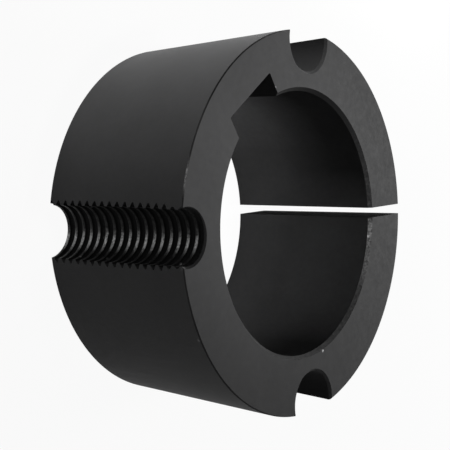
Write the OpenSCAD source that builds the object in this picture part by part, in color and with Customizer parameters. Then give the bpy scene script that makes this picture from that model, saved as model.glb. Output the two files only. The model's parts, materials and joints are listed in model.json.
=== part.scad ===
// Taper bush with a keyed bore
//
// A cast-iron ring whose outside tapers and whose wall is sawn through once. Two screws,
// half in the bush and half in the hub around it, draw the bush into the hub's matching
// taper, and the ring closes on the shaft. A screw in the threaded half-hole jacks it out.
//
// The bush stands on its small end. The origin is on the axis of the bore at that end,
// +Z points to the large end, and +X points out through the saw cut.

/* [Bush body] */
// Outside diameter at the large end
large_end_d = 69.85; // [66:0.05:76]
// Length along the axis
bush_length = 31.75; // [28:0.05:38]
// Full angle between the sides of the taper, in degrees
taper_angle = 8; // [6:0.5:10]
// Width of the broken outer edge at each end
edge_break = 0.2; // [0.1:0.05:0.5]

/* [Shaft bore] */
// Diameter of the bore
bore_d = 48; // [42:0.5:50]
// Width of the chamfer at the large end of the bore
large_end_chamfer = 0.65; // [0.3:0.05:1]
// Width of the chamfer at the small end of the bore
small_end_chamfer = 0.1; // [0.05:0.05:1]
// Width of the saw cut that lets the bush close
saw_cut_width = 1.9; // [1.5:0.1:3]

/* [Keyway] */
// Width between the side walls
keyway_width = 14; // [10:0.5:16]
// Depth of the floor beyond the bore's wall, measured on the keyway's centre line
keyway_depth = 3.8; // [2.5:0.1:4.5]
// Radius in the corners of the floor
keyway_corner_r = 0.3; // [0.2:0.05:0.6]
// Angle from the saw cut to the keyway, in degrees
keyway_angle = 122.5; // [110:0.5:140]

/* [Screw holes] */
// Diameter of the circle through the centres of the holes in the outside
hole_circle_d = 66.7; // [65:0.05:69]
// Angle from the threaded hole to each plain hole, in degrees
plain_hole_spread = 95; // [85:1:105]
// Turn of the holes from their even place about the saw cut, in degrees
hole_turn = -1.2; // [-5:0.1:5]

/* [Plain half-holes] */
// Diameter of a plain hole
plain_hole_d = 11.5; // [10:0.1:12.5]
// Depth of its round wall from the large end
plain_hole_depth = 22.5; // [16:0.5:24]
// Full angle of the point that the drill leaves, in degrees
drill_point_angle = 118; // [100:2:140]
// Width of the chamfer at its mouth
plain_hole_chamfer = 0.45; // [0.2:0.05:0.8]

/* [Threaded half-hole] */
// Diameter of the hole before its thread is cut
tapping_d = 9.4; // [8:0.1:10.5]
// Width of the lead-in chamfer at the small end
tapping_chamfer = 0.1; // [0.05:0.05:0.8]

/* [Hidden] */
$fn = 180;
// How far a cut runs past the face it starts from
overrun = 1;
bore_r = bore_d / 2;
taper_slope = tan(taper_angle / 2);
keyway_floor = bore_r + keyway_depth;
hole_circle_r = hole_circle_d / 2;
threaded_hole_angle = 180 + hole_turn;

// Outside radius of the bush at a height above its small end
function outside_r(height) = large_end_d / 2 - (bush_length - height) * taper_slope;

// Half of the wall's section, turned about the axis
module ring() {
    rotate_extrude() {
        polygon([
            [bore_r + small_end_chamfer, 0],
            [outside_r(0) - edge_break, 0],
            [outside_r(edge_break), edge_break],
            [outside_r(bush_length - edge_break), bush_length - edge_break],
            [outside_r(bush_length) - edge_break, bush_length],
            [bore_r + large_end_chamfer, bush_length],
            [bore_r, bush_length - large_end_chamfer],
            [bore_r, small_end_chamfer],
        ]);
    }
}

module saw_cut() {
    translate([0, -saw_cut_width / 2, -overrun]) {
        cube([large_end_d / 2 + overrun, saw_cut_width, bush_length + 2 * overrun]);
    }
}

// Outline of the key's slot, from the axis to the floor along +X
module keyway_outline() {
    half_width = keyway_width / 2;
    corner_x = keyway_floor - keyway_corner_r;
    corner_y = half_width - keyway_corner_r;
    union() {
        translate([0, -half_width]) square([corner_x, keyway_width]);
        translate([0, -corner_y]) square([keyway_floor, 2 * corner_y]);
        for (side = [-1, 1]) {
            translate([corner_x, side * corner_y]) circle(r = keyway_corner_r, $fn = 48);
        }
    }
}

module keyway() {
    rotate([0, 0, keyway_angle]) {
        translate([0, 0, -overrun]) {
            linear_extrude(height = bush_length + 2 * overrun) keyway_outline();
        }
    }
}

// Puts a hole's axis on the hole circle, at an angle from the saw cut
module on_hole_circle(angle) {
    rotate([0, 0, angle]) translate([hole_circle_r, 0, 0]) children();
}

// Room that a drill leaves, from its point up through the chamfered mouth
module plain_hole() {
    hole_r = plain_hole_d / 2;
    shoulder = bush_length - plain_hole_depth;
    point = shoulder - hole_r / tan(drill_point_angle / 2);
    mouth_r = hole_r + plain_hole_chamfer;
    rotate_extrude() {
        polygon([
            [0, point],
            [hole_r, shoulder],
            [hole_r, bush_length - plain_hole_chamfer],
            [mouth_r + overrun, bush_length + overrun],
            [0, bush_length + overrun],
        ]);
    }
}

// Through hole at its tapping size, opened out where the tap enters
module tapping_hole() {
    hole_r = tapping_d / 2;
    mouth_r = hole_r + tapping_chamfer;
    rotate_extrude() {
        polygon([
            [0, -overrun],
            [mouth_r + overrun, -overrun],
            [hole_r, tapping_chamfer],
            [hole_r, bush_length + overrun],
            [0, bush_length + overrun],
        ]);
    }
}

module taper_bush() {
    color([0.16, 0.16, 0.165])
    difference() {
        ring();
        saw_cut();
        keyway();
        on_hole_circle(threaded_hole_angle) tapping_hole();
        for (side = [-1, 1]) {
            on_hole_circle(threaded_hole_angle + side * plain_hole_spread) plain_hole();
        }
    }
}

taper_bush();
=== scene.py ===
"""Taper bush: a split cast-iron bush with a keyed bore and three half-round screw holes.

Laid out as a Blender add-on and run as a script. Sizes are in metres, in the part's own
frame: +Z along the bore towards the large end, +X out through the saw cut. The bush
stands on its small end at z = 0.
"""

import json
from functools import partial
from math import atan, cos, pi, radians, sin, tan

import bmesh
import bpy
from bpy.props import FloatProperty, FloatVectorProperty, IntProperty, PointerProperty
from mathutils import Matrix, Vector


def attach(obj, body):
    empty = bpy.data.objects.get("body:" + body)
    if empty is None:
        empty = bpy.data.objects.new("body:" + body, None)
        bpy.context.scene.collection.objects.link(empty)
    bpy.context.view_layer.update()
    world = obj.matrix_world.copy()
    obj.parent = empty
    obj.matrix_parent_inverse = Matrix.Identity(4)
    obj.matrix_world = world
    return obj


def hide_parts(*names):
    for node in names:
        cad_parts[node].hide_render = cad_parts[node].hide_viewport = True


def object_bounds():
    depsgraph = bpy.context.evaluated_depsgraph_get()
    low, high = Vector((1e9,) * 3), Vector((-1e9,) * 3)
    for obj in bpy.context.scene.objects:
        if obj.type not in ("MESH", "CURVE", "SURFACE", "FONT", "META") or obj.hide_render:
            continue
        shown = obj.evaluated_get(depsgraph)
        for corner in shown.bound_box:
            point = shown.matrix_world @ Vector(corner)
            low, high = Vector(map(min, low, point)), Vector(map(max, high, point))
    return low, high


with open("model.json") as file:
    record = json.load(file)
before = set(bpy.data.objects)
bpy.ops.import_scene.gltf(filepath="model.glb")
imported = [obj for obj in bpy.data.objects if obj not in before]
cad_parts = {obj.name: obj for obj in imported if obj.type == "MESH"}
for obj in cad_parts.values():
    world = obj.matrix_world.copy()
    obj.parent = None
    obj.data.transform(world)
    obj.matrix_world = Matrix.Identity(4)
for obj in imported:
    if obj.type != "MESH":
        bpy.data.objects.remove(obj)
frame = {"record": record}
cad_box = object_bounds()

bl_info = {
    "name": "Taper Bush",
    "version": (1, 0, 0),
    "blender": (4, 5, 0),
    "location": "View3D > Sidebar > Taper Bush",
    "description": "Makes a blackened cast-iron taper bush and the studio that shows it",
    "category": "Object",
}

MM = 0.001
NODE = "taper_bush"
BODY = "root"
PIECE = "bush"
LARGE_END = cad_box[1].z

# How far a cutter runs past the face it starts from
OVERRUN = 1 * MM
# Steps in each round corner of the keyway's floor
CORNER_STEPS = 6
# Corners that lie closer together than this are merged
DOUBLES_WITHIN = 0.0005 * MM
# Edges shorter than this are dissolved
SLIVERS_WITHIN = 0.0002 * MM
# Edges that bend by more than this are drawn sharp
SHARP_FROM = radians(28)


def mount_radius(name):
    """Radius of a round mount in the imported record."""
    mounts = {mount["name"]: mount for mount in frame["record"]["mounts"]}
    return mounts[name]["dims"]["r_mm"] * MM


def length_property(name, description, default):
    """A length that the sidebar shows in the scene's units."""
    return FloatProperty(
        name=name, description=description, default=default, min=0.0, unit="LENGTH", precision=5
    )


def angle_property(name, description, degrees):
    """An angle that is given here in degrees and kept in radians."""
    return FloatProperty(
        name=name, description=description, default=radians(degrees), unit="ROTATION"
    )


def share_property(name, description, default):
    """A share between nothing and all."""
    return FloatProperty(
        name=name, description=description, default=default, min=0.0, max=1.0, subtype="FACTOR"
    )


def colour_property(name, description, default):
    """A colour."""
    return FloatVectorProperty(
        name=name, description=description, default=default, size=3, min=0.0, max=1.0,
        subtype="COLOR"
    )


# Sizes and colours that a user would change


class BushSizes(bpy.types.PropertyGroup):
    """Sizes of the turned ring, its saw cut and its keyway."""

    large_end_diameter: length_property(
        "Large End", "Outside diameter at the large end", 69.85 * MM
    )
    length: length_property("Length", "Length along the axis", LARGE_END)
    taper_angle: angle_property("Taper", "Full angle between the sides of the taper", 8)
    edge_break: length_property("Edge Break", "Width of the broken outer edges", 0.2 * MM)
    bore_diameter: length_property("Bore", "Diameter of the bore", 2 * mount_radius("bore"))
    large_end_chamfer: length_property(
        "Large End Chamfer", "Bore chamfer at the large end", 0.65 * MM
    )
    small_end_chamfer: length_property(
        "Small End Chamfer", "Bore chamfer at the small end", 0.1 * MM
    )
    saw_cut_width: length_property("Saw Cut", "Width of the cut through the wall", 1.9 * MM)
    keyway_width: length_property("Keyway Width", "Width between its side walls", 14 * MM)
    keyway_depth: length_property(
        "Keyway Depth", "Depth of its floor beyond the bore's wall", 3.8 * MM
    )
    keyway_corner: length_property(
        "Keyway Corner", "Radius in the corners of its floor", 0.3 * MM
    )
    keyway_angle: angle_property("Keyway Angle", "Angle from the saw cut", 122.5)
    facets: IntProperty(
        name="Facets", description="Facets in a full turn of the ring", default=360, min=24
    )


class HoleSizes(bpy.types.PropertyGroup):
    """Sizes and places of the half-holes in the outside."""

    circle_diameter: length_property(
        "Hole Circle", "Diameter of the circle through the holes' axes", 66.7 * MM
    )
    turn: angle_property("Turn", "Turn of the holes away from the saw cut's line", -1.2)
    spread: angle_property("Spread", "Angle from the threaded hole to each plain one", 95)
    plain_diameter: length_property(
        "Plain Hole", "Diameter of a plain hole", 2 * mount_radius("plain_half_hole_a")
    )
    plain_depth: length_property("Plain Depth", "Depth of its round wall", 22.5 * MM)
    plain_chamfer: length_property("Plain Chamfer", "Chamfer at its mouth", 0.45 * MM)
    drill_point: angle_property("Drill Point", "Full angle of the point the drill leaves", 118)
    tapping_diameter: length_property(
        "Tapping Hole", "Diameter before tapping", 2 * mount_radius("threaded_half_hole")
    )
    tapping_chamfer: length_property(
        "Tapping Chamfer", "Lead-in chamfer at the small end", 0.1 * MM
    )
    facets: IntProperty(
        name="Facets", description="Facets in a full turn of a hole", default=120, min=24
    )


class ThreadSizes(bpy.types.PropertyGroup):
    """Sizes of the thread in the tapped half-hole."""

    pitch: length_property("Pitch", "Rise in one turn, 14 to the inch", 25.4 * MM / 14)
    depth: length_property("Depth", "Depth of the groove in the tapping hole", 0.86 * MM)
    mouth_width: length_property("Mouth", "Width of the groove at the hole's wall", 1.2 * MM)
    root_width: length_property("Root", "Width of the flat at the groove's root", 0.34 * MM)
    root_radius: length_property("Root Radius", "Rounding of the root's corners", 0.12 * MM)
    foot: length_property("Foot", "How far the cutter starts inside the wall", 0.12 * MM)
    start_angle: angle_property("Start Angle", "Where the groove starts, from the outside", -64)
    lead_in: length_property("Lead In", "Height below the small end where it starts", 3 * MM)
    full_to: length_property(
        "Full To", "Distance from the large end up to which both ends of a turn are full",
        4.1 * MM
    )
    shallow_from: length_property(
        "Shallow From", "Distance from the large end where they are at their shallowest",
        2.8 * MM
    )
    shallow_share: share_property("Shallow Share", "Share of the depth left there", 0.5)
    crest_break: length_property("Crest Break", "Width broken off a crest's edge", 0.1 * MM)
    mouth_chamfer: length_property(
        "Mouth Chamfer", "Chamfer of the threaded hole at the large end", 0.35 * MM
    )
    steps: IntProperty(name="Steps", description="Steps in a turn", default=72, min=12)


class FinishLook(bpy.types.PropertyGroup):
    """Colour and sheen of the blackened iron."""

    colour: colour_property("Iron", "Colour of the blackened iron", (0.072, 0.072, 0.073))
    roughness: share_property("Roughness", "Roughness of a turned surface", 0.75)
    specular: share_property("Specular", "Specular level of the blackening", 0.1)
    # Bare iron also makes the painted highlights on the chamfers, the rim and the thread's crests
    bare: colour_property(
        "Bare Iron", "Colour of the iron where the blackening is rubbed off", (0.45, 0.45, 0.45)
    )
    bare_roughness: share_property("Bare Roughness", "Roughness of the bare iron", 0.35)


class StageLook(bpy.types.PropertyGroup):
    """Camera, floor and the world's light."""

    azimuth: angle_property("Azimuth", "Camera's place about +Z, from +X", 173.6)
    elevation: angle_property("Elevation", "Camera's height above the floor", 36.97)
    roll: angle_property("Roll", "Turn of the camera about its own axis", 92.08)
    distance: length_property("Distance", "From the camera to its target", 238.8 * MM)
    target: FloatVectorProperty(
        name="Target", description="Point in the middle of the picture",
        default=(-8.475 * MM, 0.213 * MM, 20.53 * MM), size=3, subtype="XYZ", unit="LENGTH"
    )
    lens: FloatProperty(
        name="Lens", description="Focal length", default=105.5, min=1.0, unit="CAMERA"
    )
    floor: colour_property("Floor", "Colour that the floor has in lamplight", (0.55, 0.55, 0.55))
    white: share_property("White", "Share of pure white in the floor that is seen", 0.94)
    ambient: colour_property("Ambient", "Light of the world around the bush", (0.1, 0.1, 0.1))


# Solids


def link(mesh, name):
    """A new object for a mesh, at the origin."""
    made = bpy.data.objects.new(name, mesh)
    bpy.context.scene.collection.objects.link(made)
    return made


def mesh_object(shape, name, materials):
    """Closes a bmesh into a new object whose faces point outwards."""
    bmesh.ops.recalc_face_normals(shape, faces=shape.faces)
    mesh = bpy.data.meshes.new(name)
    shape.to_mesh(mesh)
    shape.free()
    for material in materials:
        mesh.materials.append(material)
    return link(mesh, name)


def lathe(name, section, facets, materials, finishes=None):
    """Turns a closed section of (radius, height) points about +Z.

    finishes gives the index of the material on the wall that starts at each point.
    """
    shape = bmesh.new()
    rings = []
    for radius, height in section:
        if radius == 0:
            rings.append([shape.verts.new((0, 0, height))] * facets)
            continue
        turns = [2 * pi * step / facets for step in range(facets)]
        rings.append([shape.verts.new((radius * cos(t), radius * sin(t), height)) for t in turns])
    for index, ring in enumerate(rings):
        after = rings[(index + 1) % len(rings)]
        for step in range(facets):
            beside = (step + 1) % facets
            corners = dict.fromkeys((ring[step], ring[beside], after[beside], after[step]))
            if len(corners) < 3:
                continue
            face = shape.faces.new(corners)
            face.material_index = finishes[index] if finishes else 0
    return mesh_object(shape, name, materials)


def prism(name, outline, low, high, materials):
    """Raises a closed outline of (x, y) points from one height to another."""
    shape = bmesh.new()
    floor = [shape.verts.new((x, y, low)) for x, y in outline]
    roof = [shape.verts.new((x, y, high)) for x, y in outline]
    shape.faces.new(floor)
    shape.faces.new(roof)
    for index in range(len(outline)):
        after = (index + 1) % len(outline)
        shape.faces.new((floor[index], floor[after], roof[after], roof[index]))
    return mesh_object(shape, name, materials)


def placed(solid, angle, radius=0.0):
    """Moves a solid's mesh out along +X and turns it about +Z, and leaves its object be."""
    move = Matrix.Rotation(angle, 4, "Z") @ Matrix.Translation((radius, 0, 0))
    solid.data.transform(move)
    return solid


def bake_modifiers(piece):
    """Turns what a piece's modifiers make into its own plain mesh."""
    depsgraph = bpy.context.evaluated_depsgraph_get()
    baked = bpy.data.meshes.new_from_object(piece.evaluated_get(depsgraph))
    old = piece.data
    piece.modifiers.clear()
    piece.data = baked
    baked.name = piece.name
    bpy.data.meshes.remove(old)


def subtract(piece, cutter):
    """Takes a cutter out of a piece. The walls it leaves keep the cutter's material."""
    cut = piece.modifiers.new("Cut", "BOOLEAN")
    cut.operation = "DIFFERENCE"
    cut.solver = "EXACT"
    cut.material_mode = "TRANSFER"
    cut.object = cutter
    bake_modifiers(piece)
    bpy.data.objects.remove(cutter)


def smooth(piece):
    """Merges doubles, and shades round walls smooth and edges sharp."""
    shape = bmesh.new()
    shape.from_mesh(piece.data)
    bmesh.ops.remove_doubles(shape, verts=shape.verts, dist=DOUBLES_WITHIN)
    bmesh.ops.dissolve_degenerate(shape, edges=shape.edges, dist=SLIVERS_WITHIN)
    shape.to_mesh(piece.data)
    shape.free()
    piece.data.shade_smooth()
    piece.data.set_sharp_from_angle(angle=SHARP_FROM)


# Shapes of the bush


def outside_radius(sizes, height):
    """Outside radius of the bush at a height above its small end."""
    slope = tan(sizes.taper_angle / 2)
    return sizes.large_end_diameter / 2 - (sizes.length - height) * slope


def ring_section(sizes):
    """Half of the wall's section, and the finish of the wall after each of its points."""
    bore = sizes.bore_diameter / 2
    top = sizes.length
    edge = sizes.edge_break
    section = [
        (bore + sizes.small_end_chamfer, 0),
        (outside_radius(sizes, 0) - edge, 0),
        (outside_radius(sizes, edge), edge),
        (outside_radius(sizes, top - edge), top - edge),
        (outside_radius(sizes, top) - edge, top),
        (bore + sizes.large_end_chamfer, top),
        (bore, top - sizes.large_end_chamfer),
        (bore, sizes.small_end_chamfer),
    ]
    faced, turned, bored, edged = range(len(RING_FINISHES))
    return section, [faced, edged, turned, edged, faced, edged, bored, edged]


def saw_cut_outline(sizes):
    """Outline of the saw cut, from the axis out along +X."""
    half = sizes.saw_cut_width / 2
    reach = sizes.large_end_diameter / 2 + OVERRUN
    return [(0, -half), (reach, -half), (reach, half), (0, half)]


def keyway_outline(sizes):
    """Outline of the key's slot along +X, with round corners in its floor."""
    half = sizes.keyway_width / 2
    corner = sizes.keyway_corner
    floor = sizes.bore_diameter / 2 + sizes.keyway_depth
    outline = [(0, -half)]
    for start, side in ((-pi / 2, -1), (0, 1)):
        for step in range(CORNER_STEPS + 1):
            turn = start + pi / 2 * step / CORNER_STEPS
            outline.append((floor - corner + corner * cos(turn),
                            side * (half - corner) + corner * sin(turn)))
    outline.append((0, half))
    return outline


def plain_hole_section(sizes, holes):
    """Half section of the room that the drill and the countersink leave."""
    radius = holes.plain_diameter / 2
    shoulder = sizes.length - holes.plain_depth
    mouth = radius + holes.plain_chamfer
    return [
        (0, shoulder - radius / tan(holes.drill_point / 2)),
        (radius, shoulder),
        (radius, sizes.length - holes.plain_chamfer),
        (mouth + OVERRUN, sizes.length + OVERRUN),
        (0, sizes.length + OVERRUN),
    ]


def tapping_hole_section(sizes, holes, thread):
    """Half section of the through hole that the thread is cut in."""
    radius = holes.tapping_diameter / 2
    return [
        (0, -OVERRUN),
        (radius + holes.tapping_chamfer + OVERRUN, -OVERRUN),
        (radius, holes.tapping_chamfer),
        (radius, sizes.length - thread.mouth_chamfer),
        (radius + thread.mouth_chamfer + OVERRUN, sizes.length + OVERRUN),
        (0, sizes.length + OVERRUN),
    ]


# Nodes


def node_in(tree, kind, **settings):
    """Adds a node and sets its properties."""
    made = tree.nodes.new(kind)
    for name, value in settings.items():
        setattr(made, name, value)
    return made


def wire(tree, value, socket):
    """Links an output to a socket, or sets the socket to a plain value."""
    if hasattr(value, "is_output"):
        tree.links.new(value, socket)
    else:
        socket.default_value = value


def wire_all(tree, made, values):
    """Wires a node's named inputs."""
    for name, value in values.items():
        wire(tree, value, made.inputs[name])


def maths(tree, operation, *values):
    """Adds a Math node on values or outputs and returns its output."""
    made = node_in(tree, "ShaderNodeMath", operation=operation)
    for socket, value in zip(made.inputs, values):
        wire(tree, value, socket)
    return made.outputs[0]


def vector_maths(tree, operation, output, *values):
    """Adds a Vector Math node on vectors and returns one of its outputs."""
    made = node_in(tree, "ShaderNodeVectorMath", operation=operation)
    for socket, value in zip(made.inputs, values):
        wire(tree, value, socket)
    return made.outputs[output]


def vector(tree, *values):
    """Joins three values or outputs to a vector."""
    made = node_in(tree, "ShaderNodeCombineXYZ")
    for socket, value in zip(made.inputs, values):
        wire(tree, value, socket)
    return made.outputs[0]


def spread(tree, value, low, high, to_low, to_high):
    """Maps a value from one span to another, and holds it there past the span's ends."""
    made = node_in(tree, "ShaderNodeMapRange", clamp=True)
    wire_all(tree, made, {"Value": value, "From Min": low, "From Max": high,
                          "To Min": to_low, "To Max": to_high})
    return made.outputs["Result"]


# Thread groove, as a node tree

THREAD_INPUTS = (
    "Wall Radius", "Pitch", "Turns", "Steps", "Depth", "Mouth Width", "Root Width",
    "Root Radius", "Foot", "Lead Start", "Lead End", "Lead Share", "Open Side", "Finish",
)
# Cosines of the angle from the hole's open side. From the first one up, a turn grows
# shallow near the large end. Below the second one, in its deepest part, it never does.
ENDS_FROM = -0.15
DEEPEST_TO = -0.6


def thread_tree():
    """Sweeps a rounded V along a right-hand helix about +Z.

    Above the height where the lead starts, the V is cut off at a shrinking radius on the
    hole's open side, given as an angle, so that it stays as wide there and grows shallow.
    """
    tree = bpy.data.node_groups.new("Thread Groove", "GeometryNodeTree")
    kinds = {"Steps": "NodeSocketInt", "Finish": "NodeSocketMaterial"}
    for name in THREAD_INPUTS:
        kind = kinds.get(name, "NodeSocketFloat")
        tree.interface.new_socket(name=name, in_out="INPUT", socket_type=kind)
    tree.interface.new_socket(name="Mesh", in_out="OUTPUT", socket_type="NodeSocketGeometry")
    given = node_in(tree, "NodeGroupInput").outputs

    foot_radius = maths(tree, "SUBTRACT", given["Wall Radius"], given["Foot"])
    rise = maths(tree, "MULTIPLY", given["Turns"], given["Pitch"])
    helix = node_in(tree, "GeometryNodeCurveSpiral")
    wire_all(tree, helix, {
        "Resolution": given["Steps"],
        "Rotations": given["Turns"],
        "Start Radius": foot_radius,
        "End Radius": foot_radius,
        "Height": rise,
        "Reverse": True,
    })
    upright = node_in(tree, "GeometryNodeSetCurveNormal", mode="Z_UP")
    wire(tree, helix.outputs[0], upright.inputs["Curve"])

    reach = maths(tree, "ADD", given["Depth"], given["Foot"])
    flare = maths(tree, "SUBTRACT", given["Mouth Width"], given["Root Width"])
    flare = maths(tree, "DIVIDE", flare, given["Depth"])
    foot_width = maths(tree, "MULTIPLY_ADD", flare, given["Foot"], given["Mouth Width"])
    root_width = given["Root Width"]
    profile = node_in(tree, "GeometryNodeCurvePrimitiveQuadrilateral", mode="POINTS")
    corners = ((0.0, foot_width, -0.5), (reach, root_width, -0.5),
               (reach, root_width, 0.5), (0.0, foot_width, 0.5))
    for number, (out, width, side) in enumerate(corners, 1):
        along = maths(tree, "MULTIPLY", width, side)
        wire(tree, vector(tree, out, along, 0.0), profile.inputs[f"Point {number}"])
    rounded = node_in(tree, "GeometryNodeFilletCurve", mode="POLY")
    wire_all(tree, rounded, {
        "Curve": profile.outputs[0],
        "Radius": given["Root Radius"],
        "Count": 2,
        "Limit Radius": True,
    })
    swept = node_in(tree, "GeometryNodeCurveToMesh")
    wire_all(tree, swept, {
        "Curve": upright.outputs[0],
        "Profile Curve": rounded.outputs[0],
        "Fill Caps": True,
    })

    parts = node_in(tree, "ShaderNodeSeparateXYZ")
    wire(tree, node_in(tree, "GeometryNodeInputPosition").outputs[0], parts.inputs[0])
    x, y, height = parts.outputs
    radius = vector_maths(tree, "LENGTH", "Value", vector(tree, x, y, 0.0))
    outward = maths(tree, "MULTIPLY", x, maths(tree, "COSINE", given["Open Side"]))
    outward = maths(tree, "MULTIPLY_ADD", y, maths(tree, "SINE", given["Open Side"]), outward)
    outward = maths(tree, "DIVIDE", outward, radius)
    share = maths(
        tree, "MAXIMUM",
        spread(tree, height, given["Lead Start"], given["Lead End"], 1.0, given["Lead Share"]),
        spread(tree, outward, DEEPEST_TO, ENDS_FROM, 1.0, 0.0)
    )
    limit = maths(tree, "MULTIPLY_ADD", given["Depth"], share, given["Wall Radius"])
    shrink = maths(tree, "MINIMUM", maths(tree, "DIVIDE", limit, radius), 1.0)
    cut_off = node_in(tree, "GeometryNodeSetPosition")
    wire(tree, swept.outputs[0], cut_off.inputs["Geometry"])
    wire(tree, vector(tree, maths(tree, "MULTIPLY", x, shrink),
                      maths(tree, "MULTIPLY", y, shrink), height), cut_off.inputs["Position"])

    realized = node_in(tree, "GeometryNodeRealizeInstances")
    finished = node_in(tree, "GeometryNodeSetMaterial")
    wire(tree, cut_off.outputs[0], realized.inputs[0])
    wire_all(tree, finished, {"Geometry": realized.outputs[0], "Material": given["Finish"]})
    wire(tree, finished.outputs[0], node_in(tree, "NodeGroupOutput").inputs[0])
    return tree


def groove_cutter(tree, shape, sizes, holes, thread, finish):
    """Makes the cutter of one groove along the thread, round +Z."""
    rise = sizes.length + thread.lead_in + OVERRUN
    groove = link(bpy.data.meshes.new("thread groove"), "thread groove")
    coil = groove.modifiers.new("Sweep", "NODES")
    coil.node_group = tree
    values = {
        "Wall Radius": holes.tapping_diameter / 2,
        "Pitch": thread.pitch,
        "Turns": rise / thread.pitch,
        "Steps": thread.steps,
        "Foot": thread.foot,
        "Open Side": -thread.start_angle,
        "Finish": finish,
        **shape,
    }
    for item in tree.interface.items_tree:
        if item.item_type == "SOCKET" and item.in_out == "INPUT":
            coil[item.identifier] = values[item.name]
    bake_modifiers(groove)
    start = Matrix.Translation((0, 0, -thread.lead_in))
    groove.data.transform(start @ Matrix.Rotation(thread.start_angle, 4, "Z"))
    return groove


# Patterns on a surface

# Nearly all of a noise texture lies in this span
NOISE_SPAN = 0.3, 0.7
# The Mix node's sockets for colours come after those for numbers and vectors
MIX_FIRST, MIX_SECOND, MIX_RESULT = 6, 7, 2


def object_place(tree):
    """Place of a surface point in the part's own frame."""
    return node_in(tree, "ShaderNodeTexCoord").outputs["Object"]


def distance_from_axis(tree, x=0.0, y=0.0):
    """Distance of a surface point from an upright axis at (x, y)."""
    flat = vector_maths(tree, "MULTIPLY", "Vector", object_place(tree), (1, 1, 0))
    return vector_maths(tree, "DISTANCE", "Value", flat, (x, y, 0))


def out_towards(tree, angle):
    """Distance of a surface point from the bore's axis, measured towards an angle from +X."""
    way = cos(angle), sin(angle), 0
    return vector_maths(tree, "DOT_PRODUCT", "Value", object_place(tree), way)


def height_of(tree):
    """Height of a surface point."""
    return vector_maths(tree, "DOT_PRODUCT", "Value", object_place(tree), (0, 0, 1))


def noise(tree, coordinate, scale, detail, roughness, dimensions="3D"):
    """Adds a noise texture and returns its value."""
    made = node_in(tree, "ShaderNodeTexNoise", noise_dimensions=dimensions)
    across = "W" if dimensions == "1D" else "Vector"
    wire_all(tree, made, {across: coordinate, "Scale": scale, "Detail": detail,
                          "Roughness": roughness})
    return made.outputs["Fac"]


def vary(tree, pattern, middle, swing):
    """Turns a noise texture into a value that swings about a middle."""
    return spread(tree, pattern, *NOISE_SPAN, middle - swing, middle + swing)


def bump(tree, pattern, depth):
    """Adds a Bump node for a pattern."""
    made = node_in(tree, "ShaderNodeBump")
    wire_all(tree, made, {"Height": pattern, "Distance": depth})
    return made


def blend(tree, share, first, second):
    """Mixes a share of a second colour into a first."""
    made = node_in(tree, "ShaderNodeMix", data_type="RGBA")
    wire(tree, share, made.inputs["Factor"])
    wire(tree, first, made.inputs[MIX_FIRST])
    wire(tree, second, made.inputs[MIX_SECOND])
    return made.outputs[MIX_RESULT]


# Finishes

# Scales of the noises, in waves to the metre, and the depth of the pits
CLOUDS = 90
MOTTLE = 900
SCRATCHES = 2600
PITS = 4500
PIT_DEPTH = 0.004 * MM
# Share of bare iron from which a place is all metal
METAL_FROM = 0.15
# Part of a bare place's radius inside which it is bare in full
BARE_CORE = 0.2
# Turn from the threaded hole's deepest line to the middle of the painted highlight on its crests
CREST_HIGHLIGHT_TURN = radians(-21)

# Places where bare iron shows: a point and a radius in millimetres, and the share of iron
FACE_SCRATCHES = (
    ((5.7, -24.25, 31.75), 0.35, 0.6),
    ((-7.4, 24.6, 31.75), 0.3, 0.3),
)
TAPER_NICKS = (
    ((-34.4, -4.2, 31.5), 0.5, 0.12),
    ((-30.7, -16.5, 31.2), 0.4, 0.1),
)
# On the bore's chamfer beside the saw cut, the two wide places are a painted highlight and the
# small ones are specks of wear. The last is a painted highlight on the outer rim.
CHAMFER_HIGHLIGHTS_AND_WEAR = (
    ((23.1, -7.5, 31.5), 12, 0.2),
    ((24.1, -3.4, 31.4), 3.5, 0.28),
    ((24.2, -3.2, 31.5), 0.6, 0.35),
    ((23.7, -4.6, 31.3), 0.5, 0.8),
    ((23.9, -5.3, 31.6), 0.5, 0.4),
    ((24.0, -1.4, 31.2), 0.5, 0.25),
    ((-33.2, 10.8, 31.6), 3.8, 0.22),
)
THREAD_NICKS = (
    ((-28.7, 0.2, 10.3), 0.35, 0.3),
    ((-28.9, -0.9, 11.5), 0.35, 0.4),
    ((-29.0, -1.1, 6.2), 0.35, 0.4),
    ((-28.0, -0.6, 8.9), 0.35, 0.3),
    ((-31.1, 5.1, 9.0), 0.4, 0.3),
    ((-31.5, -3.6, 6.2), 0.4, 0.25),
    ((-31.0, -3.9, 12.1), 0.4, 0.25),
    ((-31.2, -4.0, 28.5), 0.4, 0.2),
    ((-32.2, -3.9, 29.5), 0.5, 0.15),
    ((-34.3, -4.0, 31.6), 0.5, 0.15),
)


def bare_iron_places(tree, places):
    """Share of bare iron in a list of places, each of which fades out to its radius. Most are
    wear, and some are painted highlights.
    """
    total = 0.0
    for place, radius, share in places:
        centre = Vector(place) * MM
        away = vector_maths(tree, "DISTANCE", "Value", object_place(tree), centre)
        fading = spread(tree, away, BARE_CORE * radius * MM, radius * MM, share, 0.0)
        total = maths(tree, "MAXIMUM", total, fading)
    return total


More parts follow.
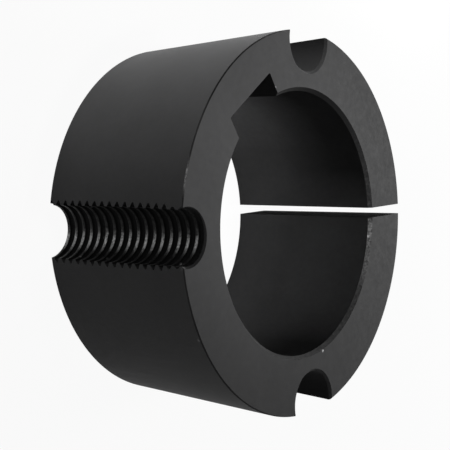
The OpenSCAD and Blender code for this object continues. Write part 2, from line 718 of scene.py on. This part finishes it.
def blackened_iron(name, look, marks, mark_width, mark_depth, shade=1.0, dull=0.0, sheen=0.0,
                   wear_and_highlights=None, painted_shading=None):
    """Iron with a black finish, over the marks that its last tool left.

    marks adds the coordinate that the marks run across. shade scales the colour, and below one
    it is painted shade. dull adds to the roughness and sheen to the specular level. The share
    of bare iron, if given, stands for wear and for painted highlights, and the factor for the
    colour, if given, is painted light and shade.
    """
    material = bpy.data.materials.new(name)
    material.use_nodes = True
    tree = material.node_tree
    shader = tree.nodes["Principled BSDF"]
    place = object_place(tree)

    clouds = noise(tree, place, CLOUDS, detail=4, roughness=0.55)
    mottle = noise(tree, place, MOTTLE, detail=3, roughness=0.6)
    tone = maths(tree, "MULTIPLY", vary(tree, clouds, 1.0, 0.07), vary(tree, mottle, 1.0, 0.06))
    # Painted light and shade, as a factor for the colour
    if painted_shading:
        tone = maths(tree, "MULTIPLY", tone, painted_shading(tree))
    scaled = node_in(tree, "ShaderNodeVectorMath", operation="SCALE")
    scaled.inputs[0].default_value = [channel * shade for channel in look.colour]
    wire(tree, tone, scaled.inputs["Scale"])
    colour = scaled.outputs[0]
    rough = vary(tree, mottle, look.roughness + dull, 0.05)
    # Bare iron, for wear and for painted highlights
    if wear_and_highlights:
        scratches = noise(tree, place, SCRATCHES, detail=3, roughness=0.7)
        broken_up = spread(tree, scratches, 0.35, 0.62, 0.3, 1.3)
        bare = maths(tree, "MULTIPLY", wear_and_highlights(tree), broken_up)
        colour = blend(tree, bare, colour, (*look.bare, 1))
        rough = spread(tree, bare, 0.0, 1.0, rough, look.bare_roughness)
        metal = spread(tree, bare, 0.0, METAL_FROM, 0.0, 1.0)
        wire(tree, metal, shader.inputs["Metallic"])

    lines = noise(tree, marks(tree), 1 / mark_width, detail=2, roughness=0.6, dimensions="1D")
    pits = noise(tree, place, PITS, detail=2, roughness=0.7)
    marked = bump(tree, lines, mark_depth)
    pitted = bump(tree, pits, PIT_DEPTH)
    wire(tree, marked.outputs[0], pitted.inputs["Normal"])
    wire_all(tree, shader, {
        "Base Color": colour,
        "Roughness": rough,
        "Specular IOR Level": look.specular + sheen,
        "Normal": pitted.outputs[0],
    })
    return material


def faced_iron(look):
    """The end faces, faced on a lathe, with scratches beside the bore's chamfer."""
    return blackened_iron(
        "Faced Iron", look, distance_from_axis, mark_width=0.16 * MM, mark_depth=0.003 * MM,
        wear_and_highlights=partial(bare_iron_places, places=FACE_SCRATCHES)
    )


def turned_iron(look):
    """The taper, turned on a lathe, with nicks at its large end."""
    return blackened_iron(
        "Turned Iron", look, height_of, mark_width=0.2 * MM, mark_depth=0.003 * MM,
        wear_and_highlights=partial(bare_iron_places, places=TAPER_NICKS)
    )


def bored_iron(look):
    """The bore, darkened with painted shade, most of all at its mouth, and lighter with painted
    light beside the saw cut there and beside the keyway below it.
    """
    # Painted light and shade, as a factor for the colour by place in the bore
    def painted_shading(tree):
        mouth = spread(tree, out_towards(tree, radians(-27)), 16 * MM, 23.5 * MM, 0.55, 1.75)
        below = spread(tree, out_towards(tree, radians(75)), 17 * MM, 24 * MM, 1.0, 1.6)
        return spread(tree, height_of(tree), 13 * MM, 25 * MM, below, mouth)

    return blackened_iron(
        "Bored Iron", look, height_of, mark_width=0.25 * MM, mark_depth=0.003 * MM,
        shade=0.52, dull=0.05, sheen=-0.1, painted_shading=painted_shading
    )


def edged_iron(look):
    """The chamfers and broken edges: painted shade all over and most near the keyway, painted
    highlights of bare iron beside the saw cut and on the outer rim, and specks of wear.
    """
    # Bare iron: specks of wear, and painted highlights beside the saw cut and on the outer rim
    def wear_and_highlights(tree):
        # A painted highlight round the chamfer beside the saw cut
        rubbed_and_highlit = spread(tree, out_towards(tree, radians(-30)), 2 * MM, 18 * MM, 0.0, 0.09)
        return maths(tree, "MAXIMUM", bare_iron_places(tree, CHAMFER_HIGHLIGHTS_AND_WEAR), rubbed_and_highlit)

    # Painted shade, darker towards the keyway's side
    def painted_shading(tree):
        return spread(tree, out_towards(tree, radians(90)), 20 * MM, 24.2 * MM, 1.0, 0.14)

    return blackened_iron(
        "Edged Iron", look, height_of, mark_width=0.1 * MM, mark_depth=0.001 * MM,
        shade=0.4, sheen=-0.03, wear_and_highlights=wear_and_highlights, painted_shading=painted_shading
    )


# Finishes of the turned ring, in the order of its material slots
RING_FINISHES = (faced_iron, turned_iron, bored_iron, edged_iron)


def sawn_iron(look):
    """The walls of the saw cut, darkened with painted shade."""
    return blackened_iron(
        "Sawn Iron", look, height_of, mark_width=0.4 * MM, mark_depth=0.012 * MM,
        shade=0.4, dull=0.1, sheen=-0.085
    )


def broached_iron(look, keyway_angle):
    """The keyway, broached along the axis, darkened with painted shade."""
    return blackened_iron(
        "Broached Iron", look, partial(out_towards, angle=keyway_angle + pi / 2),
        mark_width=0.3 * MM, mark_depth=0.005 * MM, shade=0.3, dull=0.05, sheen=-0.08
    )


def drilled_iron(look, chamfer_foot):
    """The plain half-holes, darkened with painted shade; from a height up their chamfers are
    lighter with painted light and a painted sheen of bare iron.
    """
    def on_chamfer(tree, elsewhere, there):
        edge = chamfer_foot + 0.02 * MM
        return spread(tree, height_of(tree), chamfer_foot, edge, elsewhere, there)

    return blackened_iron(
        "Drilled Iron", look, height_of, mark_width=0.3 * MM, mark_depth=0.006 * MM,
        shade=0.45, dull=0.05, sheen=-0.08,
        # On the chamfers: a painted sheen of bare iron, and painted light that lightens the
        # colour
        wear_and_highlights=partial(on_chamfer, elsewhere=0.0, there=0.025),
        painted_shading=partial(on_chamfer, elsewhere=1.0, there=1.6)
    )


def tapped_iron(look, radius, centre, highlight_angle, chamfer_foot):
    """The threaded half-hole, with marks round its own axis at a centre.

    Its crests, which lie at a radius, carry a little bare iron, and a painted highlight of bare
    iron that is strongest at an angle. Painted shade darkens it all, and painted light makes its
    grooves lighter towards their roots, and the chamfer lighter from its foot up.
    """
    x, y = centre
    marks = partial(distance_from_axis, x=x, y=y)

    # Bare iron: a little on all crests, a painted highlight on them strongest at an angle, and
    # nicks of wear
    def wear_and_highlights(tree):
        out = marks(tree)
        crest = spread(tree, out, radius + 0.01 * MM, radius + 0.07 * MM, 1.0, 0.0)
        centre_out = x * cos(highlight_angle) + y * sin(highlight_angle)
        along = maths(tree, "SUBTRACT", out_towards(tree, highlight_angle), centre_out)
        facing = maths(tree, "MAXIMUM", maths(tree, "DIVIDE", along, out), 0.0)
        narrow = maths(tree, "POWER", facing, 22.0)
        highlight_band = maths(tree, "MULTIPLY_ADD", narrow, 0.4, 0.05)
        top = height_of(tree)
        below_mouth = spread(tree, top, LARGE_END - 0.85 * MM, LARGE_END - 0.55 * MM, 1.0, 0.0)
        rubbed_and_highlit = maths(tree, "MULTIPLY", crest, maths(tree, "MULTIPLY", highlight_band, below_mouth))
        return maths(tree, "MAXIMUM", rubbed_and_highlit, bare_iron_places(tree, THREAD_NICKS))

    # Painted light: lighter towards the grooves' roots and on the chamfer
    def painted_shading(tree):
        grooves = spread(tree, marks(tree), radius + 0.15 * MM, radius + 0.6 * MM, 0.3, 2.4)
        mouth = spread(tree, height_of(tree), chamfer_foot - 0.04 * MM,
                       chamfer_foot + 0.02 * MM, 0.0, 1.5)
        return maths(tree, "MAXIMUM", grooves, mouth)

    return blackened_iron(
        "Tapped Iron", look, marks, mark_width=0.12 * MM, mark_depth=0.006 * MM,
        shade=0.3, dull=-0.25, sheen=-0.07, wear_and_highlights=wear_and_highlights, painted_shading=painted_shading
    )


# Stage

# The floor is a square, this far out and this far below the bush
FLOOR_REACH = 3.0
FLOOR_DROP = 0.02 * MM
FLOOR_ROUGHNESS = 0.9
CAMERA_CLIP = 5 * MM

# Upright lamps around the bush that draw soft strips on the taper
STRIP_DISTANCE = 130 * MM
STRIP_WIDTH = 80 * MM
STRIP_HEIGHT = 22 * MM


def direction(azimuth, elevation):
    """Unit vector towards an azimuth from +X and a height above the floor."""
    return Vector((cos(azimuth) * cos(elevation), sin(azimuth) * cos(elevation),
                   sin(elevation)))


def white_when_seen(tree, surface, share):
    """Mixes a share of plain white into a surface, for the camera, mirrors and glass."""
    path = node_in(tree, "ShaderNodeLightPath")
    seen = maths(tree, "MAXIMUM", path.outputs["Is Camera Ray"],
                 path.outputs["Is Glossy Ray"])
    seen = maths(tree, "MAXIMUM", seen, path.outputs["Is Transmission Ray"])
    glow = node_in(tree, "ShaderNodeEmission")
    mix = node_in(tree, "ShaderNodeMixShader")
    wire(tree, maths(tree, "MULTIPLY", seen, share), mix.inputs[0])
    wire(tree, surface, mix.inputs[1])
    wire(tree, glow.outputs[0], mix.inputs[2])
    return mix.outputs[0]


def pale_floor(stage):
    """A plain pale floor that looks white, and keeps a little of the bush's shadow."""
    material = bpy.data.materials.new("Pale Floor")
    material.use_nodes = True
    tree = material.node_tree
    shader = tree.nodes["Principled BSDF"]
    wire_all(tree, shader, {"Base Color": (*stage.floor, 1), "Roughness": FLOOR_ROUGHNESS})
    shown = white_when_seen(tree, shader.outputs[0], stage.white)
    wire(tree, shown, tree.nodes["Material Output"].inputs["Surface"])
    return material


def floor_mesh(stage):
    """A square floor just below the bush."""
    reach = FLOOR_REACH
    corners = ((-reach, -reach), (reach, -reach), (reach, reach), (-reach, reach))
    mesh = bpy.data.meshes.new("floor")
    mesh.from_pydata([(x, y, -FLOOR_DROP) for x, y in corners], [], [(0, 1, 2, 3)])
    mesh.materials.append(pale_floor(stage))
    return mesh


def camera_at(stage):
    """A camera that looks at the target from the photo's angle."""
    back = direction(stage.azimuth, stage.elevation)
    right = Vector((0, 0, 1)).cross(back).normalized()
    right.rotate(Matrix.Rotation(stage.roll, 3, back))
    up = back.cross(right)
    camera = bpy.data.cameras.new("camera")
    camera.lens = stage.lens
    camera.clip_start = CAMERA_CLIP
    eye = bpy.data.objects.new("camera", camera)
    bpy.context.scene.collection.objects.link(eye)
    turn = Matrix((right, up, back)).transposed().to_4x4()
    eye.matrix_world = Matrix.Translation(Vector(stage.target) + back * stage.distance) @ turn
    return eye


def hang(name, lamp, place, away, power):
    """Puts a lamp in its place, shining the other way from away, and out of the picture."""
    lamp.energy = power
    made = bpy.data.objects.new(name, lamp)
    bpy.context.scene.collection.objects.link(made)
    made.visible_camera = False
    made.location = place
    made.rotation_euler = away.to_track_quat("Z", "Y").to_euler()


def soft_lamp(name, azimuth, elevation, distance, power, width, height=None):
    """An area lamp aimed at the middle of the bush. It is round where it has no height."""
    lamp = bpy.data.lights.new(name, "AREA")
    lamp.shape = "RECTANGLE" if height else "DISK"
    lamp.size = width
    lamp.size_y = height or width
    away = direction(radians(azimuth), radians(elevation))
    middle = Vector((0, 0, LARGE_END / 2))
    hang(name, lamp, middle + away * distance, away, power)


def beam(name, x, y, height, lit_radius, power, width):
    """A spot lamp that shines straight down and lights a soft patch of the large end."""
    lamp = bpy.data.lights.new(name, "SPOT")
    lamp.spot_size = 2 * atan(lit_radius / height)
    lamp.spot_blend = 1.0
    lamp.shadow_soft_size = width / 2
    hang(name, lamp, Vector((x, y, LARGE_END + height)), Vector((0, 0, 1)), power)


def hang_lamps():
    """Hangs all the lamps, with their powers in watts."""
    for name, azimuth, power in (("taper strip", 97, 0.079), ("back strip", 45, 0.13),
                                 ("low strip", 212, 0.004)):
        soft_lamp(name, azimuth, 0, STRIP_DISTANCE, power, STRIP_WIDTH, STRIP_HEIGHT)
    soft_lamp("saw cut lamp", azimuth=0, elevation=18, distance=300 * MM, power=0.65,
              width=100 * MM)
    beam("face beam", x=-10 * MM, y=15 * MM, height=200 * MM, lit_radius=45 * MM, power=0.6,
         width=20 * MM)
    beam("bore beam", x=0.0, y=0.0, height=40 * MM, lit_radius=20 * MM, power=0.37,
         width=6 * MM)


def studio_world(stage):
    """A dim grey world that looks white."""
    world = bpy.data.worlds.new("studio")
    world.use_nodes = True
    tree = world.node_tree
    sky = tree.nodes["Background"]
    sky.inputs["Color"].default_value = (*stage.ambient, 1)
    shown = white_when_seen(tree, sky.outputs[0], 1.0)
    wire(tree, shown, tree.nodes["World Output"].inputs["Surface"])
    return world


# Operators


class TAPERBUSH_OT_make_bush(bpy.types.Operator):
    """Turn the ring, and cut its saw cut, keyway and plain holes"""

    bl_idname = "taperbush.make_bush"
    bl_label = "Make Bush"

    def execute(self, context):
        scene = context.scene
        sizes, holes, look = scene.bush_sizes, scene.hole_sizes, scene.finish_look
        low, high = -OVERRUN, sizes.length + OVERRUN
        section, finishes = ring_section(sizes)
        materials = [finish(look) for finish in RING_FINISHES]
        bush = lathe(PIECE, section, sizes.facets, materials, finishes)

        cut = prism("saw cut", saw_cut_outline(sizes), low, high, [sawn_iron(look)])
        subtract(bush, cut)
        slot = prism("keyway", keyway_outline(sizes), low, high,
                     [broached_iron(look, sizes.keyway_angle)])
        subtract(bush, placed(slot, sizes.keyway_angle))

        drilled = drilled_iron(look, sizes.length - holes.plain_chamfer)
        for side in (-1, 1):
            hole = lathe("plain hole", plain_hole_section(sizes, holes), holes.facets, [drilled])
            angle = pi + holes.turn + side * holes.spread
            subtract(bush, placed(hole, angle, holes.circle_diameter / 2))
        return {"FINISHED"}


class TAPERBUSH_OT_cut_thread(bpy.types.Operator):
    """Drill and tap the half-hole for the jacking screw"""

    bl_idname = "taperbush.cut_thread"
    bl_label = "Cut Thread"

    def execute(self, context):
        scene = context.scene
        sizes, holes, thread = scene.bush_sizes, scene.hole_sizes, scene.thread_sizes
        bush = bpy.data.objects[PIECE]
        angle = pi + holes.turn
        radius = holes.circle_diameter / 2
        tapped = tapped_iron(
            scene.finish_look,
            radius=holes.tapping_diameter / 2,
            centre=(radius * cos(angle), radius * sin(angle)),
            highlight_angle=holes.turn + CREST_HIGHLIGHT_TURN,
            chamfer_foot=sizes.length - thread.mouth_chamfer
        )
        section = tapping_hole_section(sizes, holes, thread)
        hole = lathe("tapping hole", section, holes.facets, [tapped])
        subtract(bush, placed(hole, angle, radius))

        v_groove = {
            "Depth": thread.depth,
            "Mouth Width": thread.mouth_width,
            "Root Width": thread.root_width,
            "Root Radius": thread.root_radius,
            "Lead Start": thread.lead_in + sizes.length - thread.full_to,
            "Lead End": thread.lead_in + sizes.length - thread.shallow_from,
            "Lead Share": thread.shallow_share,
        }
        crest_break = {
            "Depth": thread.crest_break,
            "Mouth Width": thread.mouth_width + 2 * thread.crest_break,
            "Root Width": thread.mouth_width - 2 * thread.crest_break,
            "Root Radius": 0.0,
            "Lead Start": 0.0,
            "Lead End": 1.0,
            "Lead Share": 1.0,
        }
        tree = thread_tree()
        for shape in (v_groove, crest_break):
            groove = groove_cutter(tree, shape, sizes, holes, thread, tapped)
            subtract(bush, placed(groove, angle, radius))

        smooth(bush)
        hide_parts(NODE)
        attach(bush, BODY)
        return {"FINISHED"}


class TAPERBUSH_OT_set_stage(bpy.types.Operator):
    """Set the floor, the lamps and the camera"""

    bl_idname = "taperbush.set_stage"
    bl_label = "Set Stage"

    def execute(self, context):
        scene = context.scene
        stage = scene.stage_look
        ground = floor_mesh(stage)
        link(ground, "floor")
        hang_lamps()
        scene.camera = camera_at(stage)
        scene.world = studio_world(stage)
        scene.view_settings.view_transform = "Standard"
        return {"FINISHED"}


class TAPERBUSH_PT_panel(bpy.types.Panel):
    """Lists the operators and the sizes"""

    bl_idname = "TAPERBUSH_PT_panel"
    bl_label = "Taper Bush"
    bl_space_type = "VIEW_3D"
    bl_region_type = "UI"
    bl_category = "Taper Bush"

    def draw(self, context):
        layout = self.layout
        for operator in OPERATORS:
            layout.operator(operator.bl_idname)
        for group in PROPERTY_GROUPS:
            values = getattr(context.scene, group)
            for name in values.__annotations__:
                layout.prop(values, name)


PROPERTY_GROUPS = {
    "bush_sizes": BushSizes,
    "hole_sizes": HoleSizes,
    "thread_sizes": ThreadSizes,
    "finish_look": FinishLook,
    "stage_look": StageLook,
}
OPERATORS = (TAPERBUSH_OT_make_bush, TAPERBUSH_OT_cut_thread, TAPERBUSH_OT_set_stage)


def register():
    """Adds the classes to Blender, and the groups of sizes to its scenes."""
    for group in PROPERTY_GROUPS.values():
        bpy.utils.register_class(group)
    for operator in OPERATORS:
        bpy.utils.register_class(operator)
    bpy.utils.register_class(TAPERBUSH_PT_panel)
    for name, group in PROPERTY_GROUPS.items():
        setattr(bpy.types.Scene, name, PointerProperty(type=group))


def unregister():
    """Takes away what register added."""
    for name in PROPERTY_GROUPS:
        delattr(bpy.types.Scene, name)
    bpy.utils.unregister_class(TAPERBUSH_PT_panel)
    for operator in reversed(OPERATORS):
        bpy.utils.unregister_class(operator)
    for group in reversed(list(PROPERTY_GROUPS.values())):
        bpy.utils.unregister_class(group)


def main():
    """Makes the bush and its stage."""
    register()
    bpy.ops.taperbush.make_bush()
    bpy.ops.taperbush.cut_thread()
    bpy.ops.taperbush.set_stage()


if __name__ == "__main__":
    main()
